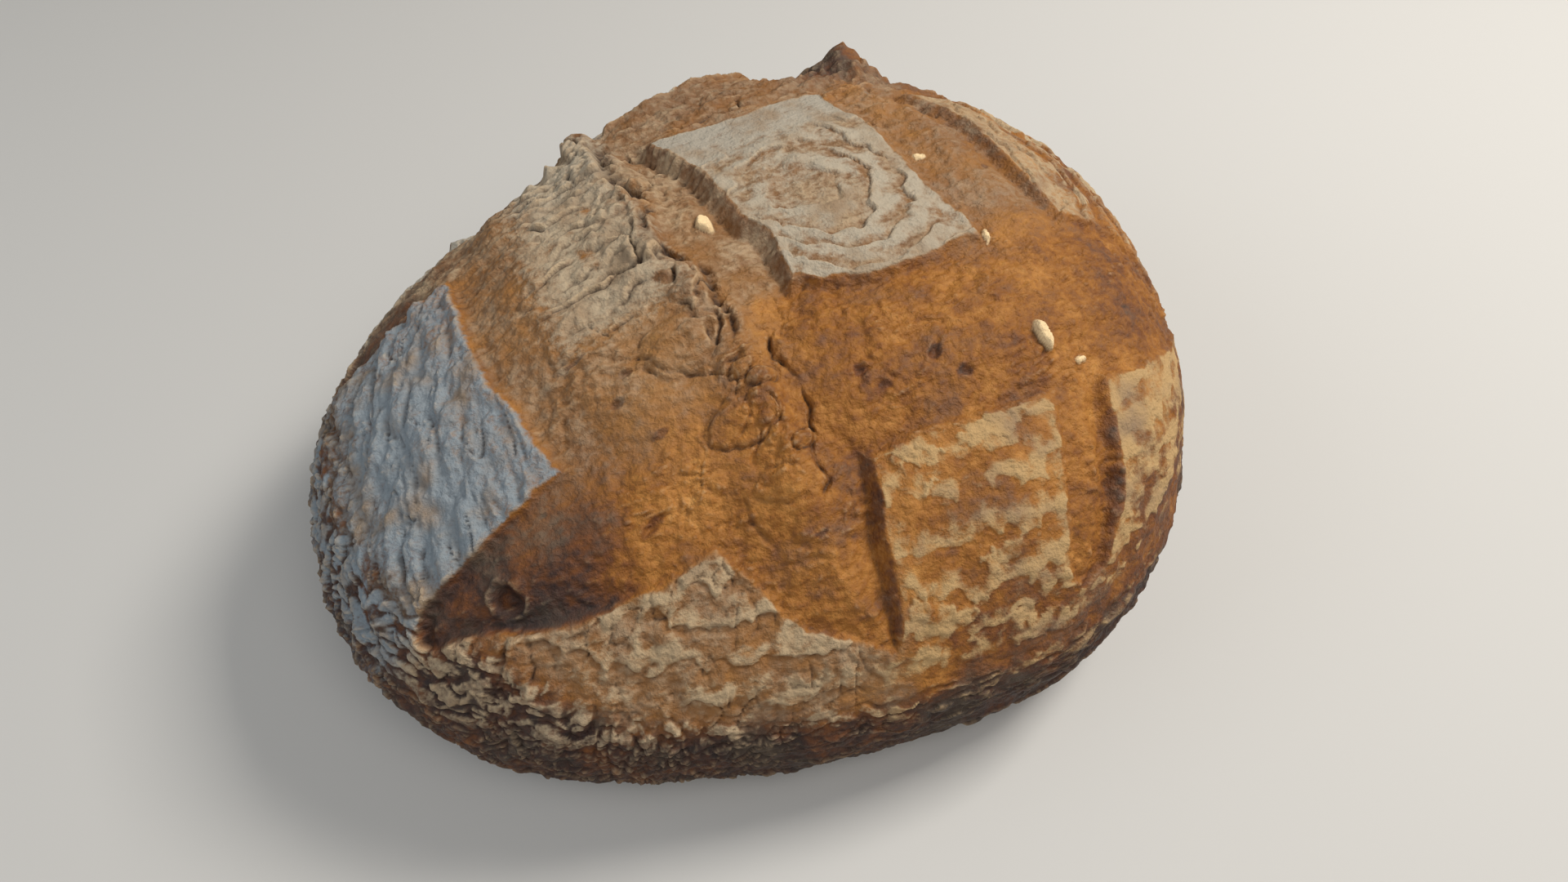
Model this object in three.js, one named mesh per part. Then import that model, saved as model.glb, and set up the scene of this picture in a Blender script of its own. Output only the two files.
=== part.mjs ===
// A round sourdough loaf, baked free-standing as one closed crust with a "#" of four score cuts.
// Millimetres. +X runs along the loaf's longer side, +Z is up and the flat base rests on z = 0.
import * as THREE from 'three';
import { mergeVertices } from 'three/addons/utils/BufferGeometryUtils.js';

// Driving dimensions of the plain loaf, before the cuts.
const MEAN_RADIUS = 112;
const HEIGHT = 95;
const WAIST_HEIGHT = 31; // where the outline is widest
const BASE_RADIUS = 90; // mean radius of the flat base
const CROWN_SHIFT = new THREE.Vector2(11.5, 10.5); // the top leans towards the rear right
const CROWN_LEAN_POWER = 1.5;

// Outline seen from above: shares of the radius, and how full the dome's shoulders are.
const OUTLINE = { oval: 0.066, triCos: -0.033, triSin: -0.018, square: 0.01 };
const SHOULDER = { mean: 2.4, cos: 0.22, sin: 0.21, cos2: 0.12, sin2: -0.07 };

// Score cuts. Places on the crust are millimetres along it from the crown, to the right and to the rear.
// A row holds the place along the cut, then the cut's two edges there.
const CUT_DEPTH = 3.5;
const CUT_WALL = 11; // width of the slope from the skin down to the cut's floor
const BLOOM_RISE = 4; // how far the crust swells again in the middle of a cut
const BLOOM_WIDTH = 16;
const FRONT_TO_REAR_CUTS = [
  [[-119, -14, -13], [-104, -37, -10], [-90, -46, -9], [-77, -60, -8], [-35, -75, -10], [0, -75, -9],
    [20, -76, -11], [47, -78, -20], [85, -66, -28], [115, -44, -40]],
  [[-120, 41, 43], [-109, 38, 50], [-90, 38, 56], [-70, 40, 56], [-24, 38, 68], [0, 33, 63],
    [43, 32, 58], [80, 34, 56], [112, 43, 46]],
];
const LEFT_TO_RIGHT_CUTS = [
  [[-112, -47, -46], [-90, -66, -41], [-75, -73, -38], [-10, -79, -33], [20, -75, -29], [39, -71, -24],
    [70, -66, -23], [90, -60, -28], [118, -44, -41]],
  [[-116, 34, 36], [-80, 31, 66], [-20, 47, 84], [32, 43, 84], [60, 36, 72], [90, 36, 58], [112, 40, 42]],
];

// Broad hollows of the dome behind the rear cut: place to the right and to the rear, radius, depth.
const HOLLOWS = [[-56, 84, 34, 9], [37, 84, 16, 4]];

// Mesh: segments along each edge of the cube that is swelled into the loaf.
const SEGMENTS = 24;
const PROFILE_STEPS = 600;
const CRUST_COLOUR = 0xa9713f;

const quarterTurn = Math.PI / 2;

/** Share of the mean radius that the outline reaches at an angle. */
function outlineFactor(angle) {
  return 1 + OUTLINE.oval * Math.cos(2 * angle) + OUTLINE.triCos * Math.cos(3 * angle)
    + OUTLINE.triSin * Math.sin(3 * angle) + OUTLINE.square * Math.sin(4 * angle);
}

/** Superellipse power of the dome at an angle: a larger one gives a fuller shoulder. */
function shoulderPower(angle) {
  return SHOULDER.mean + SHOULDER.cos * Math.cos(angle) + SHOULDER.sin * Math.sin(angle)
    + SHOULDER.cos2 * Math.cos(2 * angle) + SHOULDER.sin2 * Math.sin(2 * angle);
}

/** Radius and height on the upright section: stage 0 to 1 is the dome, to 2 the lower side, to 3 the base. */
function sectionPoint(stage, power) {
  if (stage <= 1) {
    const turn = stage * quarterTurn;
    return new THREE.Vector2(
      MEAN_RADIUS * Math.sin(turn) ** (2 / power),
      WAIST_HEIGHT + (HEIGHT - WAIST_HEIGHT) * Math.max(Math.cos(turn), 0) ** (2 / power),
    );
  }
  if (stage <= 2) {
    const turn = (stage - 1) * quarterTurn;
    return new THREE.Vector2(
      BASE_RADIUS + (MEAN_RADIUS - BASE_RADIUS) * Math.cos(turn),
      WAIST_HEIGHT * (1 - Math.sin(turn)),
    );
  }
  return new THREE.Vector2(BASE_RADIUS * (3 - stage), 0);
}

/** Table of stage against length along the mean section, from the crown to the middle of the base. */
function measureSection() {
  const rows = [[0, 0]];
  let before = sectionPoint(0, SHOULDER.mean);
  for (let step = 1; step <= PROFILE_STEPS; step += 1) {
    const stage = (3 * step) / PROFILE_STEPS;
    const here = sectionPoint(stage, SHOULDER.mean);
    rows.push([rows[step - 1][0] + here.distanceTo(before), stage]);
    before = here;
  }
  return rows;
}

/** A column of a table of rows at a key, between rows by straight lines. */
function lookUp(rows, key, column) {
  const next = rows.findIndex((row) => row[0] >= key);
  if (next === 0) return rows[0][column];
  if (next < 0) return rows[rows.length - 1][column];
  const [low, high] = [rows[next - 1], rows[next]];
  return THREE.MathUtils.mapLinear(key, low[0], high[0], low[column], high[column]);
}

/** How far a place lies inside one cut: millimetres to its nearer edge, negative outside. */
function depthInsideCut(rows, along, across) {
  const pastEnd = Math.max(rows[0][0] - along, along - rows[rows.length - 1][0], 0);
  return Math.min(across - lookUp(rows, along, 1), lookUp(rows, along, 2) - across) - pastEnd;
}

/** Height of the crust over the plain loaf at a place: down into a cut, then up with its bloom. */
function scoreRelief(right, rear) {
  const inside = Math.max(
    ...FRONT_TO_REAR_CUTS.map((rows) => depthInsideCut(rows, rear, right)),
    ...LEFT_TO_RIGHT_CUTS.map((rows) => depthInsideCut(rows, right, rear)),
  );
  return BLOOM_RISE * THREE.MathUtils.smoothstep(inside, CUT_WALL, CUT_WALL + BLOOM_WIDTH)
    - CUT_DEPTH * THREE.MathUtils.smoothstep(inside, 0, CUT_WALL);
}

/** Depth of the broad hollows at a place. */
function hollowDepth(right, rear) {
  return HOLLOWS.reduce((total, [middleRight, middleRear, radius, depth]) => {
    const gap = Math.hypot(right - middleRight, rear - middleRear) / radius;
    return total + depth * Math.exp(-(gap ** 2));
  }, 0);
}

/** Point on the loaf at a length along the section and an angle round it. */
function crustPoint(section, reach, angle) {
  const stage = lookUp(section, reach, 1);
  const plain = sectionPoint(stage, shoulderPower(angle));
  const lean = Math.max((plain.y - WAIST_HEIGHT) / (HEIGHT - WAIST_HEIGHT), 0) ** CROWN_LEAN_POWER;
  const radius = plain.x * outlineFactor(angle);
  return new THREE.Vector3(
    radius * Math.cos(angle) + CROWN_SHIFT.x * lean,
    radius * Math.sin(angle) + CROWN_SHIFT.y * lean,
    plain.y,
  );
}

/** Outward direction of the plain loaf there, from two short steps along the crust. */
function crustNormal(section, reach, angle) {
  const step = 0.5;
  const turn = step / Math.max(reach, step);
  const here = crustPoint(section, reach, angle);
  const down = crustPoint(section, reach + step, angle).sub(here);
  const round = crustPoint(section, reach, angle + turn).sub(here);
  return down.cross(round).normalize();
}

/** The loaf's skin: a cube of small faces, swelled so that each face keeps about the same size. */
function loafGeometry() {
  const cube = new THREE.BoxGeometry(2, 2, 2, SEGMENTS, SEGMENTS, SEGMENTS);
  cube.deleteAttribute('normal');
  cube.deleteAttribute('uv');
  const geometry = mergeVertices(cube);
  const section = measureSection();
  const fullLength = section[PROFILE_STEPS][0];
  const position = geometry.attributes.position;
  const point = new THREE.Vector3();
  for (let index = 0; index < position.count; index += 1) {
    point.fromBufferAttribute(position, index);
    const [x, y, z] = point.toArray().map((side) => Math.tan((side * quarterTurn) / 2));
    const angle = Math.atan2(y, x);
    const reach = (fullLength * Math.atan2(Math.hypot(x, y), z)) / Math.PI;
    const crust = crustPoint(section, reach, angle);
    if (crust.z > 0 && reach > 0) {
      const [right, rear] = [reach * Math.cos(angle), reach * Math.sin(angle)];
      const relief = scoreRelief(right, rear) - hollowDepth(right, rear);
      crust.addScaledVector(crustNormal(section, reach, angle), relief);
    }
    position.setXYZ(index, crust.x, crust.y, crust.z);
  }
  return geometry;
}

/** Stands the geometry on z = 0 with the middle of its box over the origin. */
function standOnOrigin(geometry) {
  geometry.computeBoundingBox();
  const centre = geometry.boundingBox.getCenter(new THREE.Vector3());
  geometry.translate(-centre.x, -centre.y, -geometry.boundingBox.min.z);
  geometry.computeVertexNormals();
  return geometry;
}

const crust = new THREE.MeshStandardMaterial({ color: CRUST_COLOUR, roughness: 0.75, metalness: 0 });
const loaf = new THREE.Mesh(standOnOrigin(loafGeometry()), crust);
loaf.name = 'sourdough_loaf';

const group = new THREE.Group();
group.add(loaf);

export default group;
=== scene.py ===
"""A round sourdough loaf: its crust in full relief, its flour and bake in one material, and a plain studio.

Lengths are in millimetres until the mesh is made. A place on the crust is two lengths along it from the
crown: `right` and `rear`. The four score cuts form a "#" whose strips run along those two directions.

A mask is 0 to 1 for every vertex. The first two numbers of smooth() say where it starts and is full. A call
of noise, billow, cells or wander ends with its seed, or with its seed and number of octaves.
"""
import itertools
import math
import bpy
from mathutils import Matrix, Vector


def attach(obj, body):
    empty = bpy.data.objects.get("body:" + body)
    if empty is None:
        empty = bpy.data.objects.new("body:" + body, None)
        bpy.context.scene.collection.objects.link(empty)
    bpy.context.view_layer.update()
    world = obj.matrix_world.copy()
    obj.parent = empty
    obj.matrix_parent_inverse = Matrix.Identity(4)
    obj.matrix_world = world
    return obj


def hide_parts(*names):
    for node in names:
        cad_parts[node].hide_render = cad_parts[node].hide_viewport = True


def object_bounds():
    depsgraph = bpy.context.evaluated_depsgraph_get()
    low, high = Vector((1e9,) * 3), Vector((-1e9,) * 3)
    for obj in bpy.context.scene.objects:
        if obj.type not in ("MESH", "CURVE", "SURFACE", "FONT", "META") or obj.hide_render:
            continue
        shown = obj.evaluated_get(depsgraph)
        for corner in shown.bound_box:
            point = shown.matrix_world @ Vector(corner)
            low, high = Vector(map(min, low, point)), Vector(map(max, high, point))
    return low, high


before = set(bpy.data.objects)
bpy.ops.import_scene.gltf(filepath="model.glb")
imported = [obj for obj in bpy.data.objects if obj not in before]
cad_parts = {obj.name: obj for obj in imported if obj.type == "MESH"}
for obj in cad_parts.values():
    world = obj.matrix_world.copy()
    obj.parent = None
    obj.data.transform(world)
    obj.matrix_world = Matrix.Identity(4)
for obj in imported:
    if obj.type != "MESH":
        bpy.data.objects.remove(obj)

from types import SimpleNamespace

import bpy
import numpy as np
from mathutils import Matrix, Vector

CAD_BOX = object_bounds()
NODE = "sourdough_loaf"

# The plain loaf, as in the CAD model.
MEAN_RADIUS = 112
HEIGHT = 95
WAIST_HEIGHT = 31
BASE_RADIUS = 90
CROWN_SHIFT = (11.5, 10.5)
CROWN_LEAN_POWER = 1.5
OUTLINE = SimpleNamespace(oval=0.066, tri_cos=-0.033, tri_sin=-0.018, square=0.01)
SHOULDER = SimpleNamespace(mean=2.4, cos=0.22, sin=0.21, cos2=0.12, sin2=-0.07)
METRES = (CAD_BOX[1].z - CAD_BOX[0].z) / HEIGHT  # one millimetre, at the CAD model's own size

# Mesh.
GRID = 340  # quads along each edge of the cube that is swelled into the loaf
PROFILE_STEPS = 3000

# Score cuts. A row holds the place along the cut, where its low edge (left or front) and high edge
# (right or rear) lie there, and how deep each edge's step is.
CUTS = [
    SimpleNamespace(runs="rear", rise=2.2, rows=[
        (-117, -16, -13, 0.2, 1.0), (-113, -22, -11, 0.3, 2.2), (-104, -37, -10, 0.3, 2.8),
        (-90, -46, -9, 0.4, 3.0), (-80, -51, -8, 0.5, 2.8), (-70, -56, -8, 0.6, 2.2),
        (-50, -66, -9, 0.7, 2.4), (-38, -71, -10, 0.8, 2.8), (-30, -73, -9.5, 0.7, 3.0),
        (0, -75, -9, 0.6, 3.2), (20, -75.5, -10.5, 0.6, 3.6), (38, -79, -14.5, 0.6, 3.8),
        (47, -78, -18, 0.8, 2.8), (85, -66, -28, 1.0, 2.0), (115, -44, -40, 0.5, 0.5)]),
    SimpleNamespace(runs="rear", rise=1.4, rows=[
        (-114, 40, 43, 0.2, 0.4), (-109, 37, 50, 0.4, 1.4), (-98, 37, 55, 0.5, 2.2),
        (-90, 38, 56, 0.6, 2.4), (-72, 40, 56, 0.5, 1.8), (-48, 39, 62, 0.5, 0.8),
        (-24, 38, 68, 0.5, 1.2), (-12, 35, 64, 0.6, 2.2), (0, 33, 63, 0.6, 2.4), (20, 33.5, 61.5, 0.6, 2.4),
        (43, 32.5, 57, 0.7, 1.8), (80, 34, 56, 0.7, 1.4), (112, 43, 46, 0.3, 0.3)]),
    SimpleNamespace(runs="right", rise=1.2, rows=[
        (-108, -50, -44.5, 0.8, 0.8), (-104, -52, -42.5, 0.8, 0.8), (-90, -63, -41.5, 0.9, 0.7),
        (-75, -71.5, -38.5, 1.0, 0.6), (-58, -77, -37, 0.6, 0.4), (-45, -78, -36, 0.4, 0.6),
        (-8, -79.5, -31, 0.6, 2.2), (0, -78.5, -34, 0.7, 2.0), (12, -76.5, -32, 0.8, 1.8),
        (20, -75, -28.5, 0.8, 1.6), (39, -71, -24, 0.8, 1.4), (56, -68, -23, 0.7, 1.0),
        (70, -66, -23, 0.7, 0.9), (90, -60, -28, 0.6, 0.8), (118, -44, -41, 0.3, 0.3)]),
    SimpleNamespace(runs="right", rise=0.8, rows=[
        (-116, 30, 36, 0.4, 0.4), (-80, 31, 62, 0.8, 0.5), (-40, 46, 64, 0.8, 0.4),
        (-20, 47.5, 68, 1.0, 0.3), (-8, 46, 70, 1.0, 0.3), (10, 43.5, 75, 1.0, 0.3),
        (30, 44.5, 80, 0.9, 0.5), (60, 36, 66, 0.8, 0.8), (90, 36, 54, 0.6, 0.6), (112, 40, 42, 0.3, 0.3)]),
]
WALL_SHARE = 1.3  # a wall's width for each millimetre of its depth
BLOOM_SPAN = (3, 18)  # how far inside a cut its swelling starts and is full
GROOVE_FADE = 8  # how soon the groove along a wall fills up again inside the cut
LIP_FADE = 2.2  # how soon the lip beside a cut sinks back to the skin
END_SLOPE = 3  # how fast a cut closes past its ends
BLEND_WIDTH = 2  # how gently the depths of two cuts blend where they meet

# Flap of crust lifted along the rear cut's far edge: place to the right, and how far it stands up.
FLAP_ROWS = [(-80, 0.3), (-60, 1.0), (-40, 0.8), (-38.5, 4.2), (-20, 4.4), (0, 3.6), (18, 3.8), (27, 4.2),
             (29, 0.6), (90, 0.3)]
FLAP_RAMP = 16  # how far in front of its rim the flap starts to rise
FLAP_CURL = 1.7  # power of that rise: a larger one leaves it flatter, then curls it up more at the rim
FLAP_WALL = 1.8  # width of the drop behind the rim
LOWEST_WRINKLED_FLAP = 1.5

# Pointed bits of torn crust: place, radius and height.
PEAKS = [((54, 65), 15, 11.5), ((-77, 70), 5.5, 3.2), ((-45, 58), 3.5, 3.5), ((-52, 55), 3, 2.0)]

# Broad dips behind the rear cut: place, radius and depth.
DIPS = [((-56, 84), 34, 9.0), ((37, 84), 16, 4.0)]

# Basket rings: the flour lines left by the proving basket's coils.
RING_CENTRE = (6, 5)
RING_PITCH = 8.5
FRONT_RING_SHIFT = 0.45  # how much of a pitch the rings are shifted by on the front panels

# Areas of the crust with a look of their own: from and to on the right, from and to on the rear, and the
# width of the soft border.
AREAS = SimpleNamespace(
    left_panel=((-175, -68), (-46, 36), 10),
    dark_corner=((-130, -62), (-80, -36), 20),
    dark_corner_floor=((-130, -50), (-80, -34), 12),
    left_corner_side=((-130, -84), (-110, -50), 20),
    front_cut_middle=((-16, 45), (-80, -56), 14),
    right_cut_front=((20, 70), (-80, -10), 20),
    right_cut=((30, 66), (-24, 60), 16),
    rear_left=((-88, -22), (28, 80), 14),
    left_cut=((-80, -26), (-45, 60), 30),
    strata=((-60, -30), (-18, 64), 18),
    tear=((-70, 10), (-85, 80), 24),
    furrow=((-40, 0), (-45, 60), 20),
    blisters=((-54, -28), (-68, -12), 12),
    beside_panel=((-30, -8), (-32, 60), 10),
    centre_panel=((-30, 48), (-45, 60), 10),
    quiet_rings=((-20, 45), (27, 55), 8),
)

# How far from the crown the dark lower side begins, painted shade on the side facing down: the angle round
# the loaf, and the reach there.
DARK_SIDE_ROWS = [(-math.pi, 117), (-2.6, 114), (-2.3, 126), (-1.9, 131), (-1.2, 134), (-0.8, 138),
                  (0, 136), (1.6, 124), (math.pi, 117)]


def smooth(low, high, value):
    """0 below low, 1 above high, and a smooth step between; low may be above high."""
    share = np.clip((value - low) / (high - low), 0, 1)
    return share * share * (3 - 2 * share)


def mix(first, second, share):
    return first + (second - first) * share


def bell(value, middle, width):
    """1 at the middle, falling off on both sides."""
    return np.exp(-(((value - middle) / width) ** 2))


# ---------------- noise

TABLE = 256  # entries in the noises' tables of directions and seed points, picked in a shuffled order
NOISE_GAIN = 1.6  # brings gradient noise to about -1 to 1


def gradient_noise(points, seed):
    """Smooth noise, about -1 to 1, at points of two or three columns."""
    rng = np.random.default_rng(seed)
    order = rng.permutation(TABLE)
    directions = rng.normal(size=(TABLE, points.shape[1]))
    directions /= np.linalg.norm(directions, axis=1, keepdims=True)
    cell = np.floor(points).astype(np.int64)
    offset = points - cell
    fade = offset ** 3 * (offset * (offset * 6 - 15) + 10)
    total = np.zeros(len(points))
    for corner in itertools.product((0, 1), repeat=points.shape[1]):
        index = np.zeros(len(points), np.int64)
        weight = np.ones(len(points))
        for axis, step in enumerate(corner):
            index = order[(index + cell[:, axis] + step) % TABLE]
            weight *= fade[:, axis] if step else 1 - fade[:, axis]
        total += weight * np.sum(directions[index] * (offset - corner), axis=1)
    return total * NOISE_GAIN


def noise(points, size, seed, octaves=1):
    """Layers of gradient noise; size is the length of its largest waves."""
    total = np.zeros(len(points))
    for octave in range(octaves):
        total += 0.5 ** octave * gradient_noise(points * (2 ** octave / size), seed + octave)
    return total


def cells(points, size, seed):
    """Cellular noise: distance to the nearest and second seed point in cell sizes, a number for the
    nearest cell from 0 to 1, and the offset from its seed point."""
    rng = np.random.default_rng(seed)
    order = rng.permutation(TABLE)
    seeds = rng.random((TABLE, points.shape[1]))
    marks = rng.random(TABLE)
    scaled = points / size
    cell = np.floor(scaled).astype(np.int64)
    nearest = np.full(len(points), np.inf)
    second = np.full(len(points), np.inf)
    mark = np.zeros(len(points))
    offset = np.zeros(points.shape)
    for step in itertools.product((-1, 0, 1), repeat=points.shape[1]):
        index = np.zeros(len(points), np.int64)
        for axis in range(points.shape[1]):
            index = order[(index + cell[:, axis] + step[axis]) % TABLE]
        gap = scaled - cell - step - seeds[index]
        distance = np.linalg.norm(gap, axis=1)
        closer = distance < nearest
        second = np.where(closer, nearest, np.minimum(second, distance))
        nearest = np.where(closer, distance, nearest)
        mark = np.where(closer, marks[index], mark)
        offset[closer] = gap[closer]
    return nearest, second, mark, offset


FAINT = 0.001  # masks below this count as 0


def drift(points, size, seeds, octaves=2):
    """A column of slow noise for each seed, to move points about with."""
    return np.stack([noise(points, size, seed, octaves) for seed in seeds], axis=1)


def only_where(mask, make, *arrays):
    """Works out make(*arrays) only where the mask isn't 0, and gives it times the mask."""
    chosen = mask > FAINT
    result = np.zeros(len(mask))
    if chosen.any():
        result[chosen] = make(*(array[chosen] for array in arrays)) * mask[chosen]
    return result


# ---------------- the plain loaf

def section(stage, power):
    """Radius and height on the upright section: stage 0 to 1 is the dome, to 2 the side, to 3 the base."""
    turn = np.clip(stage, 0, 1) * math.pi / 2
    low_turn = np.clip(stage - 1, 0, 1) * math.pi / 2
    dome_radius = MEAN_RADIUS * np.sin(turn) ** (2 / power)
    dome_height = WAIST_HEIGHT + (HEIGHT - WAIST_HEIGHT) * np.maximum(np.cos(turn), 0) ** (2 / power)
    side_radius = BASE_RADIUS + (MEAN_RADIUS - BASE_RADIUS) * np.cos(low_turn)
    side_height = WAIST_HEIGHT * (1 - np.sin(low_turn))
    base_radius = BASE_RADIUS * np.clip(3 - stage, 0, 1)
    radius = np.where(stage <= 1, dome_radius, np.where(stage <= 2, side_radius, base_radius))
    height = np.where(stage <= 1, dome_height, np.where(stage <= 2, side_height, 0))
    return radius, height


STAGES = np.linspace(0, 3, PROFILE_STEPS + 1)
MEAN_SECTION = np.stack(section(STAGES, SHOULDER.mean), axis=1)
LENGTHS = np.concatenate([[0], np.cumsum(np.linalg.norm(np.diff(MEAN_SECTION, axis=0), axis=1))])
WAIST_REACH = float(np.interp(1, STAGES, LENGTHS))
RIM_REACH = float(np.interp(2, STAGES, LENGTHS))
FULL_REACH = float(LENGTHS[-1])


def plain_loaf(reach, angle):
    """Points of the loaf without its cuts, at a length along the section and an angle round it."""
    stage = np.interp(reach, LENGTHS, STAGES)
    power = (SHOULDER.mean + SHOULDER.cos * np.cos(angle) + SHOULDER.sin * np.sin(angle)
             + SHOULDER.cos2 * np.cos(2 * angle) + SHOULDER.sin2 * np.sin(2 * angle))
    radius, height = section(stage, power)
    radius = radius * (1 + OUTLINE.oval * np.cos(2 * angle) + OUTLINE.tri_cos * np.cos(3 * angle)
                       + OUTLINE.tri_sin * np.sin(3 * angle) + OUTLINE.square * np.sin(4 * angle))
    lean = np.clip((height - WAIST_HEIGHT) / (HEIGHT - WAIST_HEIGHT), 0, 1) ** CROWN_LEAN_POWER
    return np.stack([
        radius * np.cos(angle) + CROWN_SHIFT[0] * lean,
        radius * np.sin(angle) + CROWN_SHIFT[1] * lean,
        height,
    ], axis=1)


def plain_normals(reach, angle):
    """Outward directions of the plain loaf, from short steps down and round it."""
    step = 0.8
    nearest_crown = 0.01
    shortest = 1e-9
    turn = step / np.maximum(reach, step)
    higher = plain_loaf(np.maximum(reach - step, nearest_crown), angle)
    lower = plain_loaf(np.minimum(reach + step, FULL_REACH), angle)
    round_it = plain_loaf(reach, angle + turn) - plain_loaf(reach, angle - turn)
    normals = np.cross(lower - higher, round_it)
    return normals / np.maximum(np.linalg.norm(normals, axis=1, keepdims=True), shortest)


def cube_grid(count):
    """Points on a cube's surface in whole steps from 0 to count, and its quads with their faces out."""
    steps = np.arange(count)
    first_step, second_step = (side.ravel() for side in np.meshgrid(steps, steps, indexing="ij"))
    corners = ((0, 0), (1, 0), (1, 1), (0, 1))
    faces = []
    for axis, end in itertools.product(range(3), (0, count)):
        quad = np.zeros((first_step.size, 4, 3), np.int64)
        for number, (one, two) in enumerate(corners if end else corners[::-1]):
            quad[:, number, axis] = end
            quad[:, number, (axis + 1) % 3] = first_step + one
            quad[:, number, (axis + 2) % 3] = second_step + two
        faces.append(quad)
    every = np.concatenate(faces).reshape(-1, 3)
    key = (every[:, 0] * (count + 1) + every[:, 1]) * (count + 1) + every[:, 2]
    _, chosen, index = np.unique(key, return_index=True, return_inverse=True)
    return every[chosen], index.reshape(-1, 4)


def lay_out_crust():
    """Every vertex of the loaf's skin: where it is on the crust and in space, and the quads."""
    steps, quads = cube_grid(GRID)
    x, y, z = np.tan((steps / GRID * 2 - 1) * math.pi / 4).T
    angle = np.arctan2(y, x)
    reach = FULL_REACH * np.arctan2(np.hypot(x, y), z) / math.pi
    base = plain_loaf(reach, angle)
    middle = (base[:, :2].min(axis=0) + base[:, :2].max(axis=0)) / 2
    base[:, :2] -= middle
    crust = SimpleNamespace(
        quads=quads, reach=reach, angle=angle, base=base, normal=plain_normals(reach, angle),
        right=reach * np.cos(angle), rear=reach * np.sin(angle), middle=middle,
    )
    crust.flat = np.stack([crust.right, crust.rear], axis=1)
    # Coordinates for marks drawn out round the side: round it, round it, and down it.
    crust.round = np.stack([MEAN_RADIUS * np.cos(angle), MEAN_RADIUS * np.sin(angle), reach], axis=1)
    crust.dark_from = np.interp(angle, *np.array(DARK_SIDE_ROWS).T)
    crust.dome = 1 - smooth(WAIST_REACH - 8, WAIST_REACH + 8, reach)
    crust.off_base = 1 - smooth(RIM_REACH - 12, RIM_REACH + 2, reach)
    return crust


# ---------------- cuts, bloom and ears

def cut_field(crust):
    """How far inside the cuts each place is, negative on the skin, and the edge's depth and bloom there."""
    wobble = drift(crust.flat, 15, (11, 21)) * 1.1 + drift(crust.flat, 3.4, (12, 22)) * 0.35
    right, rear = (crust.flat + wobble).T
    weights = np.zeros(len(right))
    depth = np.zeros(len(right))
    rise = np.zeros(len(right))
    inside = np.full(len(right), -np.inf)
    for cut in CUTS:
        rows = np.array(cut.rows).T
        along, across = (rear, right) if cut.runs == "rear" else (right, rear)
        low, high, low_depth, high_depth = (np.interp(along, rows[0], row) for row in rows[1:])
        past_end = np.maximum(np.maximum(rows[0, 0] - along, along - rows[0, -1]), 0)
        here = np.minimum(across - low, high - across) - END_SLOPE * past_end
        side = smooth(0.25, 0.75, (across - low) / (high - low))
        weight = np.exp(np.clip(here, -60, 40) / BLEND_WIDTH)
        depth += weight * mix(low_depth, high_depth, side)
        rise += weight * cut.rise
        weights += weight
        inside = np.maximum(inside, here)
    return SimpleNamespace(
        inside=inside, depth=depth / weights, rise=rise / weights,
        in_cut=smooth(-0.3, 1.2, inside), on_skin=1 - smooth(-0.7, 0.5, inside),
    )


def cut_relief(crust, cut):
    """Down the wall at a cut's edge, up again over its bloom, and a lip curling up on the skin beside it."""
    wall = 1 + WALL_SHARE * cut.depth
    fall = smooth(0, 1, cut.inside / wall)
    groove = cut.depth * fall * np.exp(-np.maximum(cut.inside - wall, 0) / GROOVE_FADE)
    bloom = cut.rise * smooth(*BLOOM_SPAN, cut.inside)
    lip = (0.25 + 0.08 * cut.depth) * np.exp(np.minimum(cut.inside, 0) / LIP_FADE) * (1 - fall)
    return (bloom - groove + lip) * crust.dome


def ear_relief(crust):
    """The flap along the rear cut's far edge, a thin wall with a crisp rim, and the pointed bits."""
    rear_cut = np.array(CUTS[3].rows).T
    edge = np.interp(crust.right, rear_cut[0], rear_cut[2])
    beyond = crust.rear - edge + noise(crust.flat, 14, 31, 2) * 0.8
    height = np.interp(crust.right + noise(crust.flat, 6, 32) * 0.4, *np.array(FLAP_ROWS).T)
    ramp = np.clip(1 + beyond / FLAP_RAMP, 0, 1) ** FLAP_CURL
    across_rim = wander(crust.flat * (0.3, 1), 9, 1.5, 35)
    wrinkles = 0.7 * billow(across_rim, 5, 37, 2) * smooth(-22, -16, beyond) * (height > LOWEST_WRINKLED_FLAP)
    relief = (height * ramp + wrinkles) * smooth(FLAP_WALL, 0, beyond) * (crust.rear > 0)
    for place, radius, peak in PEAKS:
        gap = np.hypot(*(crust.flat - place).T) / radius
        gap = gap * (1 + 0.25 * noise(crust.flat, 5, 34, 2))
        relief += peak * np.clip(1 - gap, 0, 1) ** 1.35
    return relief * crust.dome


def dip_relief(crust):
    """Broad dips behind the rear cut."""
    relief = np.zeros(len(crust.reach))
    for place, radius, depth in DIPS:
        relief -= depth * bell(np.hypot(*(crust.flat - place).T), 0, radius)
    return relief * crust.off_base


# ---------------- marks listed one by one

def line_distance(flat, points):
    """Distance from each place to a line of points, and how far along the line it is, 0 to 1."""
    points = np.array(points, float)
    starts, steps = points[:-1], np.diff(points, axis=0)
    lengths = np.linalg.norm(steps, axis=1)
    before = np.concatenate([[0], np.cumsum(lengths)])
    best = np.full(len(flat), np.inf)
    along = np.zeros(len(flat))
    for start, step, length, gone in zip(starts, steps, lengths, before):
        share = np.clip((flat - start) @ step / length ** 2, 0, 1)
        gap = np.linalg.norm(flat - start - share[:, None] * step, axis=1)
        closer = gap < best
        best = np.where(closer, gap, best)
        along = np.where(closer, (gone + share * length) / before[-1], along)
    return best, along


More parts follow.
